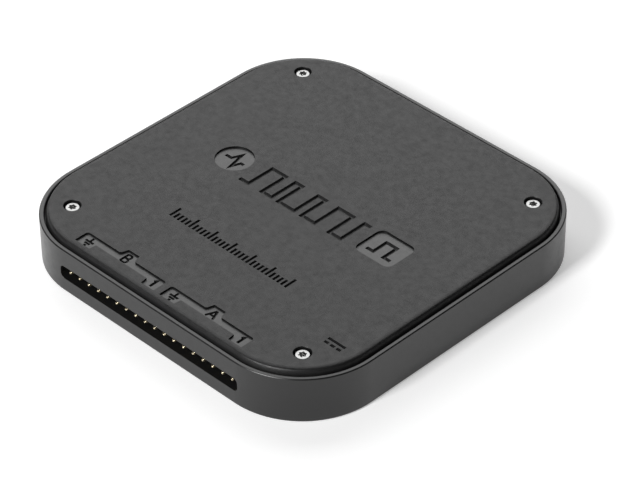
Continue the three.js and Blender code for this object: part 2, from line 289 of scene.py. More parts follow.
def second_finish(obj, material, level):
    """Another finish for the faces of a piece that look up and lie at a level."""
    obj.data.materials.append(material)
    for face in obj.data.polygons:
        if face.normal.z > 0.9 and abs(face.center.z / MM - level) < 0.02:
            face.material_index = 1


# ---- Materials ----
def new_material(name):
    """A material with its shader and its object coordinates."""
    material = bpy.data.materials.new(name)
    material.use_nodes = True
    nodes = material.node_tree.nodes
    place = nodes.new("ShaderNodeTexCoord").outputs["Object"]
    return material, nodes["Principled BSDF"], place


def new_node(source, kind, socket, **values):
    """A node fed by a source, with constants on its other sockets."""
    node = source.id_data.nodes.new(f"ShaderNode{kind}")
    if kind == "Mix":
        node.data_type = "RGBA"
    link(source, node.inputs[socket])
    set_inputs(node, **values)
    return node


def set_inputs(node, **values):
    """Sets constants on a node's sockets. An underscore stands for a space in a socket's name."""
    for name, value in values.items():
        node.inputs[name.replace("_", " ")].default_value = value


def link(source, target):
    source.id_data.links.new(source, target)


def noise(place, grain_mm, detail=2.0, roughness=0.6):
    """Noise whose features are about grain_mm across."""
    scale = 1 / (grain_mm * MM)
    node = new_node(place, "TexNoise", "Vector", Scale=scale, Detail=detail, Roughness=roughness)
    return node.outputs["Fac"]


def spread(factor, low, high):
    """Maps a noise factor's middle range to low..high."""
    node = new_node(factor, "MapRange", "Value", From_Min=0.3, From_Max=0.7, To_Min=low, To_Max=high)
    return node.outputs["Result"]


def mix_colours(factor, first, second):
    """Goes from one colour to the other with a noise factor."""
    node = new_node(spread(factor, 0.0, 1.0), "Mix", "Factor", A=(*first, 1), B=(*second, 1))
    return node.outputs["Result"]


def tint(shader, factor, first, second):
    link(mix_colours(factor, first, second), shader.inputs["Base Color"])


def roughen(shader, factor, limits):
    link(spread(factor, *limits), shader.inputs["Roughness"])


def bump(shader, height, depth_mm):
    node = new_node(height, "Bump", "Height", Distance=depth_mm * MM, Strength=1.0)
    link(node.outputs["Normal"], shader.inputs["Normal"])


def blasted_metal(name, shades, roughness, grain_mm, depth_mm, specular):
    """Fine bead-blasted and anodised metal: a fine grain over faint mottling and soft clouding."""
    material, shader, place = new_material(name)
    fine = noise(place, grain_mm)
    mottle = noise(place, 1.4, detail=5.0, roughness=0.7)
    cloud = noise(place, 9.0)
    tint(shader, cloud, *[(shade, shade, shade * 1.01) for shade in shades])
    roughen(shader, mottle, roughness)
    set_inputs(shader, Specular_IOR_Level=specular)
    bump(shader, fine, depth_mm)
    return material


def board_material():
    """Green solder mask on the board's faces, with a faint weave, and bare glass laminate on its edges."""
    material, shader, place = new_material("board_green")
    weave = noise(place, 0.35)
    cloud = noise(place, 6.0)
    mask = mix_colours(cloud, (0.008, 0.062, 0.026), (0.012, 0.080, 0.034))
    laminate = mix_colours(weave, (0.30, 0.27, 0.13), (0.38, 0.34, 0.18))
    split = new_node(place.node.outputs["Normal"], "SeparateXYZ", "Vector")
    upright = new_node(split.outputs["Z"], "Math", 0)
    upright.operation = "ABSOLUTE"
    edge = new_node(upright.outputs["Value"], "Mix", "Factor")
    link(laminate, edge.inputs["A"])
    link(mask, edge.inputs["B"])
    link(edge.outputs["Result"], shader.inputs["Base Color"])
    roughen(shader, weave, (0.26, 0.36))
    bump(shader, weave, 0.003)
    return material


def polished_metal(name, colour, roughness, grain_mm=0.12, stretch=(1.0, 1.0, 1.0)):
    """Bright plated metal with faint tool marks, drawn out in a direction where it is brushed."""
    material, shader, place = new_material(name)
    mapping = new_node(place, "Mapping", "Vector", Scale=[1 / length for length in stretch])
    fine = noise(mapping.outputs["Vector"], grain_mm, detail=3.0)
    tint(shader, fine, colour, tuple(c * 0.86 for c in colour))
    roughen(shader, fine, roughness)
    set_inputs(shader, Metallic=1.0)
    bump(shader, fine, 0.004)
    return material


def moulded_plastic(name, colour, roughness, grain_mm=0.09, depth_mm=0.004, clear=0.0):
    """Moulded plastic or epoxy with a fine texture from its mould."""
    material, shader, place = new_material(name)
    fine = noise(place, grain_mm)
    cloud = noise(place, 2.5)
    tint(shader, cloud, colour, tuple(min(1.0, c * 1.25 + 0.002) for c in colour))
    roughen(shader, fine, roughness)
    set_inputs(shader, Transmission_Weight=clear)
    bump(shader, fine, depth_mm)
    return material


COVER_FINISH = blasted_metal("cover_finish", (0.008, 0.010), (0.36, 0.52), 0.22, 0.030, specular=0.48)
HOUSING_FINISH = blasted_metal("housing_finish", (0.008, 0.009), (0.29, 0.38), 0.16, 0.008, specular=0.54)
RIM_FINISH = blasted_metal("rim_finish", (0.008, 0.009), (0.27, 0.34), 0.12, 0.006, specular=0.72)
SUNK_FINISH = blasted_metal("sunk_finish", (0.012, 0.014), (0.34, 0.42), 0.12, 0.006, specular=0.9)
SCREW_STEEL = polished_metal("screw_steel", (0.50, 0.50, 0.495), (0.24, 0.36))
TINNED_STEEL = polished_metal("tinned_steel", (0.66, 0.66, 0.64), (0.25, 0.40))
GOLD = polished_metal("gold_plate", (0.96, 0.84, 0.60), (0.24, 0.36), grain_mm=0.06)
SOLDER = polished_metal("solder", (0.62, 0.62, 0.63), (0.30, 0.50), grain_mm=0.25)
BRUSHED_STEEL = polished_metal("brushed_steel", (0.70, 0.69, 0.66), (0.26, 0.42), stretch=(14.0, 1.0, 1.0))
BLACK_PLASTIC = moulded_plastic("black_plastic", (0.010, 0.010, 0.011), (0.42, 0.55))
CHIP_EPOXY = moulded_plastic("chip_epoxy", (0.016, 0.016, 0.017), (0.50, 0.65))
BOARD_GREEN = board_material()
MASKED_COPPER = moulded_plastic("masked_copper", (0.030, 0.150, 0.060), (0.24, 0.34), 0.3, 0.002)
WHITE_INK = moulded_plastic("white_ink", (0.72, 0.72, 0.70), (0.55, 0.70), grain_mm=0.05)
STRIPE_INK = moulded_plastic("stripe_ink", (0.16, 0.07, 0.015), (0.45, 0.60))
CERAMIC = moulded_plastic("ceramic", (0.14, 0.085, 0.05), (0.40, 0.58), grain_mm=0.05)
FERRITE = moulded_plastic("ferrite", (0.030, 0.030, 0.031), (0.55, 0.75), 0.12, 0.012)
TANTALUM = moulded_plastic("capacitor_case", (0.55, 0.30, 0.06), (0.40, 0.55))
LED_BODY = moulded_plastic("led_body", (0.80, 0.78, 0.66), (0.30, 0.42))
CLEAR_PLASTIC = moulded_plastic("clear_plastic", (0.80, 0.86, 0.86), (0.10, 0.16), clear=0.7)


# ---- Camera, floor and light ----
def aimed(name, data, azimuth, elevation, offset, roll=0.0):
    """Puts a camera or light round the box. Azimuth 0 is in front of the slot, 90 to its right.

    The offset is in millimetres: to its right, up and back, as it looks at the box.
    """
    turn = Euler((radians(90 - elevation), 0, radians(azimuth))).to_matrix()
    axes = turn @ Matrix.Rotation(radians(roll), 3, "Z")
    obj = add_object(name, data)
    obj.matrix_world = Matrix.Translation(axes @ Vector(offset) * MM) @ axes.to_4x4()
    return obj


def make_camera():
    """A long lens that looks down over the front right corner."""
    data = bpy.data.cameras.new("camera")
    data.sensor_width = 36.0
    data.lens = 168.5
    data.clip_start = 0.01
    data.clip_end = 20.0
    bpy.context.scene.camera = aimed("camera", data, 45.06, 38.08, (3.17, 1.70, 567.4), -0.43)


def area_light(name, azimuth, elevation, distance_mm, size_mm, watts):
    """A soft rectangular light aimed at the box."""
    data = bpy.data.lights.new(name, "AREA")
    data.shape = "RECTANGLE"
    data.size = size_mm[0] * MM
    data.size_y = size_mm[1] * MM
    data.energy = watts
    aimed(name, data, azimuth, elevation, (0, 0, distance_mm))


def make_floor():
    """A wide pale floor that glows a little, like a table lit from below as well."""
    reach = 3000
    square = [(-reach, -reach), (reach, -reach), (reach, reach), (-reach, reach)]
    floor = new_object("floor", at_level(square, 0), [(0, 1, 2, 3)])
    material, shader, place = new_material("pale_floor")
    tint(shader, noise(place, 60.0, detail=1.0), (0.90,) * 3, (0.91,) * 3)
    set_inputs(shader, Roughness=0.8, Emission_Color=(1, 1, 1, 1), Emission_Strength=0.36)
    floor.data.materials.append(material)


def make_world():
    """Almost dark surroundings, so that the cover's rounded edge mirrors little."""
    world = bpy.data.worlds.new("surroundings")
    bpy.context.scene.world = world
    world.use_nodes = True
    set_inputs(world.node_tree.nodes["Background"], Strength=0.012, Color=(1, 1, 1, 1))


bpy.context.scene.view_settings.view_transform = "Standard"
make_camera()
make_floor()
make_world()
area_light("key_light", 0, 40, 900, (200, 200), 6.3)
area_light("back_softbox", 230, 38, 1000, (1400, 900), 7.5)


# ---- Housing ----
def body_ring(inset, z):
    """The body's outline, moved in, at a level."""
    return at_level(rounded(HALF - inset, HALF - inset, CORNER - inset, 24), z)


def housing_shell():
    chamfer = [(0, RIM_CHAMFER), (0.03, 0.16), (0.16, 0.03), (RIM_CHAMFER, 0)]
    top = [(inset, RIM_TOP - down) for inset, down in chamfer]
    inner = [(RIM - away, RIM_TOP - along) for away, along in fillet(RIM_ROUNDING, 6)]
    profile = fillet(FOOT_ROUNDING) + top + inner + [(RIM, LEDGE), (WALL, LEDGE), (WALL, FLOOR)]
    return lofted("housing_case", [body_ring(inset, z) for inset, z in profile])


def corner_post(sx, sy):
    """A screw post with the web that ties it to the corner wall."""
    foot = FLOOR - 0.4
    outwards = Vector((sx, sy))
    wall_middle = HALF - CORNER + (CORNER - WALL / 2) * sqrt(0.5)
    post = circle(POST_RADIUS, 48, outwards * SCREW_AT)
    web = ribbon([outwards * SCREW_AT, outwards * wall_middle], 2.4)
    return [prism("post", post, foot, LEDGE), prism("web", web, foot, LEDGE - 0.02)]


def opening_cutter(name, half_x, half_z, radius, centre, outside_y):
    """A cutter for a window in a wall that faces along Y, with a small chamfer round its mouth."""
    inward = -1 if outside_y > 0 else 1
    rings = []
    for depth, grow in [(-MOUTH_CHAMFER, 2 * MOUTH_CHAMFER), (MOUTH_CHAMFER, 0), (WALL + 1, 0)]:
        ring = rounded(half_x + grow, half_z + grow, radius + grow, 8, centre)
        rings.append(at_depth(ring, outside_y + inward * depth))
    return lofted(name, rings)


def make_housing():
    case = housing_shell()
    posts = join("posts", [part for sx, sy in CORNERS.values() for part in corner_post(sx, sy)])
    combine(case, posts, "UNION", overlapping=True)
    bores = [prism("bore", circle(BORE_RADIUS, 32, place), BORE_BOTTOM, LEDGE + 1)
             for place in SCREW_PLACES.values()]
    slot = opening_cutter("slot", SLOT_HALF, SLOT_HALF_HEIGHT, SLOT_CORNER, (0, PIN_LEVEL), -HALF)
    usb, usb_half = middle_mm("usb_shell")
    usb_window = opening_cutter("usb_window", usb_half.x + 0.35, usb_half.z + 0.25, 0.7, (0, usb.z), HALF)
    pipe_half = PIPE_RADIUS + 0.15
    light_window = opening_cutter(
        "light_window", pipe_half, pipe_half, pipe_half - 0.001, (PIPE_X, PIPE_LEVEL), HALF)
    combine(case, join("cutters", [*bores, slot, usb_window, light_window]))
    soften(case)
    finish_piece(case, HOUSING_FINISH, "housing", "anodised_case", "housing")
    second_finish(case, RIM_FINISH, RIM_TOP)


# ---- Cover ----
BRACKETS = {"b": -22.35, "a": 0.45}  # where the sunk bracket over each header starts
BRACKET_TAB = 10.85  # from there to the middle of the tab that bears the header's letter
BADGE_AT = (20.4, 1.0)
DIAL_AT = (-19.4, 1.0)
SUNK_LEVEL = COVER_TOP - MARK_DEPTH
THIN_STROKE, STROKE, HEAVY_STROKE = 0.5, 0.55, 0.6


def conic(start, corner, end, weight, steps=14):
    """A curve that leaves start towards corner and reaches end. More weight brings it nearer corner."""
    points = []
    for i in range(steps + 1):
        t = i / steps
        a, b, c = (1 - t) ** 2, 2 * t * (1 - t) * weight, t * t
        ends = zip(start, corner, end)
        points.append(tuple((a * p + b * q + c * r) / (a + b + c) for p, q, r in ends))
    return points


def bracket_outline(left):
    """A sunk bracket over one header: a band along the pins, a leg at each end and a tab for its letter."""
    right = left + 21.3
    bottom, inner, top, tab = -37.05, -35.5, -33.8, -32.15
    soft = 0.35
    return [
        (left, bottom), (left + 3.9, bottom), (left + 4.1, inner), (right - 3.5, inner),
        (right - 3.3, bottom), (right, bottom), (right, top - soft), (right - soft, top),
        (left + 12.9, top), (left + 12.6, top + soft), (left + 12.3, tab), (left + 9.4, tab),
        (left + 9.0, top + soft), (left + 8.7, top), (left + soft, top), (left, top - soft),
    ]


def sunk(name, outline):
    return prism(name, outline, SUNK_LEVEL, COVER_TOP + 1)


def groove(points, width, surface=COVER_TOP):
    """A cutter for an engraved stroke with sloping sides."""
    wide, narrow = ribbon(points, width), ribbon(points, width * 0.5)
    return lofted("groove", [
        at_level(narrow, surface - STROKE_DEPTH), at_level(wide, surface), at_level(wide, COVER_TOP + 1)])


def low_groove(points, width):
    """The same stroke in the floor of a sunk area."""
    return groove(points, width, SUNK_LEVEL)


def ground_symbol(x, y, size):
    """Earth symbol: three bars of falling length under a stem."""
    bars = [low_groove([(x - size * w, y - size * d), (x + size * w, y - size * d)], THIN_STROKE)
            for w, d in [(0.72, 0.05), (0.46, 0.46), (0.20, 0.87)]]
    return [low_groove([(x, y + size * 0.75), (x, y - size * 0.03)], THIN_STROKE), *bars]


def letter_a(x, y, size):
    legs = [low_groove([(x + side * size * 0.42, y - size * 0.5), (x, y + size * 0.5)], STROKE)
            for side in (-1, 1)]
    bar_y = y - size * 0.15
    return [*legs, low_groove([(x - size * 0.26, bar_y), (x + size * 0.26, bar_y)], THIN_STROKE)]


def letter_b(x, y, size):
    left = x - size * 0.32

    def lobe(centre_y, radius, reach):
        turn = [(-0.5 + i / 10) * pi for i in range(11)]
        arc = [(left + reach + radius * cos(t), centre_y + radius * sin(t)) for t in turn]
        return low_groove([(left, centre_y - radius), *arc, (left, centre_y + radius)], THIN_STROKE)

    return [
        low_groove([(left, y - size * 0.5), (left, y + size * 0.5)], STROKE),
        lobe(y + size * 0.25, size * 0.23, size * 0.28),
        lobe(y - size * 0.25, size * 0.25, size * 0.32),
    ]


def figure_one(x, y, size):
    path = [(x - size * 0.24, y + size * 0.26), (x, y + size * 0.46), (x, y - size * 0.5)]
    return [low_groove(path, HEAVY_STROKE)]


def pulse_train():
    """The large engraved trace across the cover: a plain digital signal of uneven pulses."""
    low, high = -2.7, 3.7
    steps = [-14.2, -11.8, -8.2, -5.6, -3.8, 0.4, 2.4, 5.8, 9.6, 12.6, 14.2]
    points = [(steps[0], low)]
    level = low
    for x in steps[1:-1]:
        points.append((x, level))
        level = high if level == low else low
        points.append((x, level))
    points.append((steps[-1], level))
    return [groove(points, 0.9)]


def time_scale():
    """A row of short strokes under the trace, like the divisions of a time axis."""
    half, divisions, foot = 15.2, 30, -19.8
    strokes = []
    for i in range(divisions + 1):
        x = -half + i * 2 * half / divisions
        tall = 1.7 if i % 5 else 2.9
        strokes.append(groove([(x, foot), (x, foot + tall)], 0.56))
    return strokes


def direct_current_symbol():
    """The usual sign for direct current: a line over three dashes, beside the front right screw."""
    x, y, half = 33.0, -24.4, 2.1
    dash_y, dash_pitch, dash_half = y - 1.1, 1.5, 0.5
    middles = [x + (i - 1) * dash_pitch for i in range(3)]
    dashes = [groove([(m - dash_half, dash_y), (m + dash_half, dash_y)], HEAVY_STROKE) for m in middles]
    return [groove([(x - half, y), (x + half, y)], HEAVY_STROKE), *dashes]


def header_marks():
    """What the brackets bear: an earth symbol, the header's letter and a figure at its first input."""
    marks = []
    for left in BRACKETS.values():
        marks += ground_symbol(left + 2.1, -35.25, 1.5) + figure_one(left + 19.6, -35.4, 2.0)
    for bank, letter in (("b", letter_b), ("a", letter_a)):
        marks += letter(BRACKETS[bank] + BRACKET_TAB, -33.9, 2.3)
    return marks


def glyphs():
    """A single pulse in the badge and a heartbeat in the dial."""
    x, y = BADGE_AT
    pulse = [(x - 3.0, y - 1.8), (x - 1.3, y - 1.8), (x - 1.3, y + 1.8),
             (x + 1.3, y + 1.8), (x + 1.3, y - 1.8), (x + 3.0, y - 1.8)]
    x, y = DIAL_AT
    beat = [(x - 2.4, y), (x - 0.9, y), (x, y + 2.0), (x + 0.9, y - 2.0), (x + 1.7, y), (x + 2.5, y)]
    return [low_groove(pulse, 0.8), low_groove(beat, 0.7)]


def cover_plate():
    """The plate with its crowned edge, before its holes and marks."""
    low_chamfer = 0.15
    edge = conic(
        (COVER_INSET, COVER_TOP - COVER_EDGE_HEIGHT), (COVER_INSET + 0.5, COVER_TOP - 0.08),
        (COVER_INSET + COVER_EDGE_WIDTH, COVER_TOP), 3.0)
    lower = [(COVER_INSET + low_chamfer, LEDGE), (COVER_INSET, LEDGE + low_chamfer)]
    return lofted("cover_plate", [body_ring(inset, z) for inset, z in lower + edge])


def screw_seat(place):
    """A cutter for a counterbored screw hole with a small chamfer round its mouth."""
    chamfer = 0.08
    mouth = COUNTERBORE_RADIUS + 2 * chamfer
    return turned("seat", [
        (BORE_RADIUS, LEDGE - 1), (BORE_RADIUS, HEAD_SEAT), (COUNTERBORE_RADIUS, HEAD_SEAT),
        (COUNTERBORE_RADIUS, COVER_TOP - chamfer), (mouth, COVER_TOP + chamfer), (mouth, COVER_TOP + 1),
    ], place)


def make_cover():
    plate = cover_plate()
    combine(plate, join("seats", [screw_seat(place) for place in SCREW_PLACES.values()]))
    pockets = [sunk("bracket", bracket_outline(left)) for left in BRACKETS.values()]
    pockets.append(sunk("badge", rounded(4.5, 3.95, 1.5, 8, BADGE_AT)))
    pockets.append(sunk("dial", circle(3.9, 48, DIAL_AT)))
    combine(plate, join("pockets", pockets))
    grooves = pulse_train() + time_scale() + direct_current_symbol() + header_marks() + glyphs()
    combine(plate, join("grooves", grooves), overlapping=True)
    soften(plate)
    finish_piece(plate, COVER_FINISH, "cover", "anodised_case", "cover")
    second_finish(plate, SUNK_FINISH, SUNK_LEVEL)


# ---- Cover screws ----
def six_lobe(radius, place, steps=72):
    """Outline of a six-lobe recess."""
    points = []
    for i in range(steps):
        angle = i / steps * 2 * pi
        reach = radius * (1 + 0.15 * cos(6 * angle))
        points.append((place[0] + reach * cos(angle), place[1] + reach * sin(angle)))
    return points


def threaded(radius, z_top, z_bottom, pitch, depth):
    """Profile of a threaded shank, from its tip upwards, as rings of a V thread."""
    profile = [(radius - 0.35, z_bottom), (radius - 0.1, z_bottom + 0.25)]
    z = z_bottom + 0.3
    while z + pitch < z_top:
        profile += [(radius - depth, z), (radius, z + pitch / 2)]
        z += pitch
    return profile + [(radius - depth, z)]


def make_cover_screw(corner):
    place = SCREW_PLACES[corner]
    chamfer, neck = 0.06, 0.7
    round_over = [(HEAD_RADIUS - along, HEAD_TOP - away) for away, along in fillet(0.20, 6)]
    profile = threaded(0.79, HEAD_SEAT - 0.3, SCREW_LOW.z, 0.35, 0.13)
    profile += [(neck, HEAD_SEAT), (HEAD_RADIUS - chamfer, HEAD_SEAT), (HEAD_RADIUS, HEAD_SEAT + chamfer)]
    screw = turned(f"screw_{corner}", profile + round_over, place)
    combine(screw, prism("recess", six_lobe(0.72, place), HEAD_TOP - 1.0, HEAD_TOP + 1))
    soften(screw)
    finish_piece(screw, SCREW_STEEL, f"cover_screw_{corner}", "screw_steel", f"cover_screw_{corner}")


# ---- The board's chips and other parts ----
SOLDER_PADS = []
COPPER_LINES = []
PRINTED_LINES = []
LEAD_LIFT = 0.05  # from a part's underside to the middle of the strip folded under it


def fixed(obj, material, slot, *nodes):
    """Finishes a piece that stays with the housing."""
    finish_piece(obj, material, "housing", slot, *nodes)


def stand_mm(node):
    """Centre, half size, lowest level, highest level and place seen from above of a CAD node."""
    centre, half = middle_mm(node)
    return centre, half, centre.z - half.z, centre.z + half.z, (centre.x, centre.y)


def swept(outline, width, x, y, angle):
    """A bar with a side outline of (out, up) points, turned by an angle seen from above."""
    out = Vector((cos(angle), sin(angle)))
    return lofted("bar", [
        [(x + out.x * u - out.y * side, y + out.y * u + out.x * side, z) for u, z in outline]
        for side in (width / 2, -width / 2)
    ])


def gull_lead(x, y, angle, reach, width, rise):
    """A chip's lead: out of the body at mid height, down, and flat on its pad."""
    thick = 0.15
    foot = BOARD_TOP + PAD + thick / 2
    path = [
        (-0.15, rise), (reach * 0.25, rise), (reach * 0.36, rise - 0.06), (reach * 0.5, foot + 0.06),
        (reach * 0.62, foot), (reach, foot),
    ]
    return swept(ribbon(path, thick), width, x, y, angle)


def flat_lead(x, y, angle, reach, width, _rise):
    """A leadless package's contact, flush with its side and flat on its pad."""
    thick = 0.2
    foot = BOARD_TOP + PAD + thick / 2
    return swept(ribbon([(-0.35, foot), (reach + 0.015, foot)], thick), width, x, y, angle)


def along_sides(centre, body_half, sides, count, pitch):
    """Places of leads as (x, y, angle). Side 0 faces +X, 1 faces +Y, 2 faces -X and 3 faces -Y."""
    for side in sides:
        angle = side * pi / 2
        reach = body_half[side % 2]
        for i in range(count):
            v = (i - (count - 1) / 2) * pitch
            x = centre.x + cos(angle) * reach - sin(angle) * v
            y = centre.y + sin(angle) * reach + cos(angle) * v
            yield x, y, angle


def pads_at(x, y, angle, reach, width):
    """Notes the solder pad under a lead's foot."""
    start, end = reach * 0.45 - 0.05, reach + 0.25
    middle = (start + end) / 2
    along, across = (end - start) / 2, width / 2 + 0.05
    half = (across, along) if abs(cos(angle)) < 0.5 else (along, across)
    place = (x + cos(angle) * middle, y + sin(angle) * middle)
    SOLDER_PADS.append(rounded(*half, 0.04, 2, place))


def printed_box(centre, half_x, half_y):
    """Notes a printed outline round a part: four corner brackets."""
    arm = min(half_x, half_y) * 0.35
    for sx in (-1, 1):
        for sy in (-1, 1):
            x, y = centre.x + sx * half_x, centre.y + sy * half_y
            PRINTED_LINES.append(ribbon([(x - sx * arm, y), (x, y), (x, y - sy * arm)], 0.14))


def moulded_body(name, half_x, half_y, levels, place):
    """A moulded case through (inset, z) levels."""
    return lofted(name, [
        at_level(rounded(half_x - inset, half_y - inset, 0.12, 2, place), z) for inset, z in levels])


def make_package(node, body_half, lead_rows, lead_shape=gull_lead, draft=0.10):
    """A moulded chip: drafted sides that meet at a parting line, a pin 1 dimple, and its leads."""
    centre, half, low, high, at = stand_mm(node)
    middle = (low + high) / 2
    body = moulded_body(f"{node}_body", *body_half, [
        (draft, low + 0.06), (0, middle - 0.02), (0, middle + 0.02), (draft, high)], at)
    mark = min(0.45, min(body_half) * 0.22)
    corner = [at[axis] - body_half[axis] + draft + 2.2 * mark for axis in range(2)]
    combine(body, turned("dimple", [(mark, high - 0.07), (mark, high + 1)], corner, 24))
    fixed(bevelled(body, 0.05), CHIP_EPOXY, "chip_epoxy", node)
    leads = []
    for sides, count, pitch, width in lead_rows:
        axis = sides[0] % 2
        reach = half[axis] - body_half[axis]
        for x, y, angle in along_sides(centre, body_half, sides, count, pitch):
            leads.append(lead_shape(x, y, angle, reach, width, middle))
            pads_at(x, y, angle, reach, width)
    fixed(soften(join(f"{node}_leads", leads)), TINNED_STEEL, "bright_steel")


def make_chips():
    for i in range(4):
        make_package(f"input_protection_{i + 1}", (2.15, 0.95), [([1, 3], 5, 0.8, 0.34)])
    make_package("logic_chip", (6.0, 6.0), [([0, 1, 2, 3], 20, 0.5, 0.22)])
    make_package("usb_controller_chip", (4.0, 4.0), [([0, 1, 2, 3], 14, 0.5, 0.24)], flat_lead, 0.02)
    make_package("memory_chip", (1.9, 1.75), [([1, 3], 4, 0.95, 0.36)])
    for node in ("regulator_core", "regulator_io"):
        make_package(node, (3.2, 1.15), [([3], 3, 2.3, 0.7), ([1], 1, 1.0, 3.0)])


def folded_terminals(node, centre, reach, path, thick, width):
    """A strip folded under each end of a part and up its side, and the pads below."""
    terminals = []
    for angle in (0, pi):
        x = centre.x + cos(angle) * reach
        terminals.append(swept(ribbon(path, thick), width, x, centre.y, angle))
        pads_at(x - cos(angle) * 0.5, centre.y, angle, 1.0, width + 0.1)
    fixed(soften(join(f"{node}_terminals", terminals)), TINNED_STEEL, "bright_steel")


def make_tantalum(node):
    """A moulded capacitor with a polarity stripe and a terminal folded under each end."""
    centre, half, low, high, at = stand_mm(node)
    body = moulded_body(f"{node}_body", half.x - 0.12, half.y, [
        (0.12, low + 0.08), (0, centre.z - 0.03), (0, centre.z + 0.03), (0.14, high)], at)
    fixed(bevelled(body, 0.09, 3), TANTALUM, "capacitor_case", node)
    stripe_at = (centre.x + half.x - 1.15, centre.y)
    stripe = block(f"{node}_stripe", 0.42, half.y - 0.3, high - 0.1, high + 0.012, stripe_at)
    fixed(soften(stripe), STRIPE_INK, "capacitor_case")
    path = [(-1.3, low + LEAD_LIFT), (0.03, low + LEAD_LIFT), (0.03, centre.z)]
    folded_terminals(node, centre, half.x - 0.09, path, 0.11, 2.4)
    printed_box(centre, half.x + 0.9, half.y + 0.4)


def make_crystal():
    """A ceramic base with a seam-welded steel lid."""
    centre, half, low, high, at = stand_mm("crystal")
    base = block("crystal_base", half.x, half.y, low, low + 0.55, at, 0.25)
    fixed(bevelled(base, 0.04), CERAMIC, "chip_epoxy")
    lid = join("crystal_lid", [
        block("rim", half.x - 0.25, half.y - 0.25, low + 0.5, low + 0.66, at, 0.4),
        block("top", half.x - 0.5, half.y - 0.5, low + 0.6, high, at, 0.4),
    ])
    fixed(bevelled(lid, 0.06, 3), BRUSHED_STEEL, "bright_steel", "crystal")
    printed_box(centre, half.x + 0.4, half.y + 0.4)


def make_coil():
    """A shielded power coil: a ferrite square with a ring gap round its drum, and two folded terminals."""
    centre, half, low, high, at = stand_mm("power_coil")
    body = block("power_coil_core", half.x, half.y, low + LEAD_LIFT, high, at, 1.2)
    ring = turned("ring", [(2.0, high - 0.25), (2.0, high + 1)], at)
    combine(ring, turned("drum", [(1.72, high - 1), (1.72, high + 2)], at))
    combine(body, ring)
    fixed(bevelled(body, 0.08), FERRITE, "black_plastic", "power_coil")
    path = [(-1.0, low + LEAD_LIFT), (0.04, low + LEAD_LIFT), (0.04, low + 0.7)]
    folded_terminals("power_coil", centre, half.x, path, 0.12, 1.9)
    printed_box(centre, half.x + 0.8, half.y + 0.4)


def spaced(x, y, dx, dy, count):
    return [(x + dx * i, y + dy * i) for i in range(count)]


def passive_places():
    """Where the chip resistors and capacitors are: those that lie along Y, then those along X."""
    along_y = [(pin_x(i), -27.2) for i in INPUTS]
    along_y += spaced(-8.6, -16.6, 1.6, 0, 3) + spaced(5.4, -16.6, 1.6, 0, 3)
    along_y += spaced(3.6, 21.6, 1.7, 0, 3) + spaced(-20.0, 0.4, 0, 1.8, 3)
    along_x = spaced(-9.0, -8.6, 0, 2.2, 4) + spaced(9.0, -8.6, 0, 2.2, 4)
    along_x += spaced(-6.2, 11.6, 0, 1.2, 3) + spaced(6.3, 17.2, 0, 1.5, 3)
    along_x += spaced(24.0, -10.0, 0, 3.0, 5) + spaced(-15.6, 12.0, 0, 2.0, 3)
    return along_y, along_x


def make_small_passives():
    """Chip resistors and capacitors: series resistors for the inputs and decoupling round the chips."""
    along_y, along_x = passive_places()
    lies = [
        (along_y, (0.25, 0.48), (0, 0.4), (0.27, 0.12)),
        (along_x, (0.49, 0.24), (0.4, 0), (0.12, 0.27)),
    ]
    bodies, ends = [], []
    seat = BOARD_TOP + PAD
    for places, body_half, step, cap_half in lies:
        for x, y in places:
            bodies.append(block("passive", *body_half, seat, seat + 0.34, (x, y), 0.03))
            for side in (-1, 1):
                end = (x + side * step[0], y + side * step[1])
                ends.append(block("end", *cap_half, seat - OVERLAP, seat + 0.36, end, 0.03))
                SOLDER_PADS.append(rounded(cap_half[0] + 0.1, cap_half[1] + 0.1, 0.05, 2, end))
    fixed(soften(join("chip_passives", bodies)), CERAMIC, "chip_epoxy")
    fixed(soften(join("chip_passive_ends", ends)), TINNED_STEEL, "bright_steel")


# ---- Copper, pads and printing on the board ----
def track(width, *points):
    """Notes a copper line through some points."""
    COPPER_LINES.append(ribbon(points, width))


def route_inputs():
    """Copper from the headers through the resistors and the protection arrays to the logic chip."""
    for order, i in enumerate(INPUTS):
        chip, channel = divmod(order, 4)
        chip_x = middle_mm(f"input_protection_{chip + 1}")[0].x
        lead_x = chip_x + (channel - 1.5) * 0.8 + (0.4 if channel > 1 else -0.4)
        track(0.2, (pin_x(i), -28.7), (pin_x(i), -27.5))
        track(0.2, (pin_x(i), -26.9), (pin_x(i), -26.6), (lead_x, -25.9), (lead_x, -25.2))
        if chip in (1, 2):
            target = (order - 7.5) * 0.5
            track(0.18, (lead_x, -22.7), (lead_x, -21.4), (target, -18.2), (target, -13.9))
        else:
            side = -1 if chip == 0 else 1
            rank = channel if side > 0 else 3 - channel
            level = -11.75 + rank * 0.5
            track(0.18, (lead_x, -22.7), (lead_x, level - 1), (lead_x - side, level), (side * 7.0, level))


def route_copper():
    """The input lines, the bus to the USB chip, the pair to the socket and the supply bars."""
    route_inputs()
    for i in range(14):
        x = (i - 6.5) * 0.5
        track(0.18, (x, -0.1), (x, 10.9))
    for side in (-1, 1):
        near, far = side * 0.75, side * 0.9
        x0, x1 = side * 0.25, side * 0.8
        track(0.25, (x0, 19.1), (x0, 24.075), (x1, 24.625), (x1, 29.6))
        track(0.18, (4.1, 15 + near), (9.0, 15 + near), (12.3 + side * 0.5, 14.6))
        track(0.18, (-8.4, 19 + far), (-6.0, 17 + near), (-4.1, 17 + near))
    for x, y0, y1 in ((-22.0, -9.0, 0.0), (-28.0, 7.5, 14.4), (-24.0, 8.4, 14.4), (-27.3, -11.0, -5.9)):
        track(1.0, (x, y0), (x, y1))


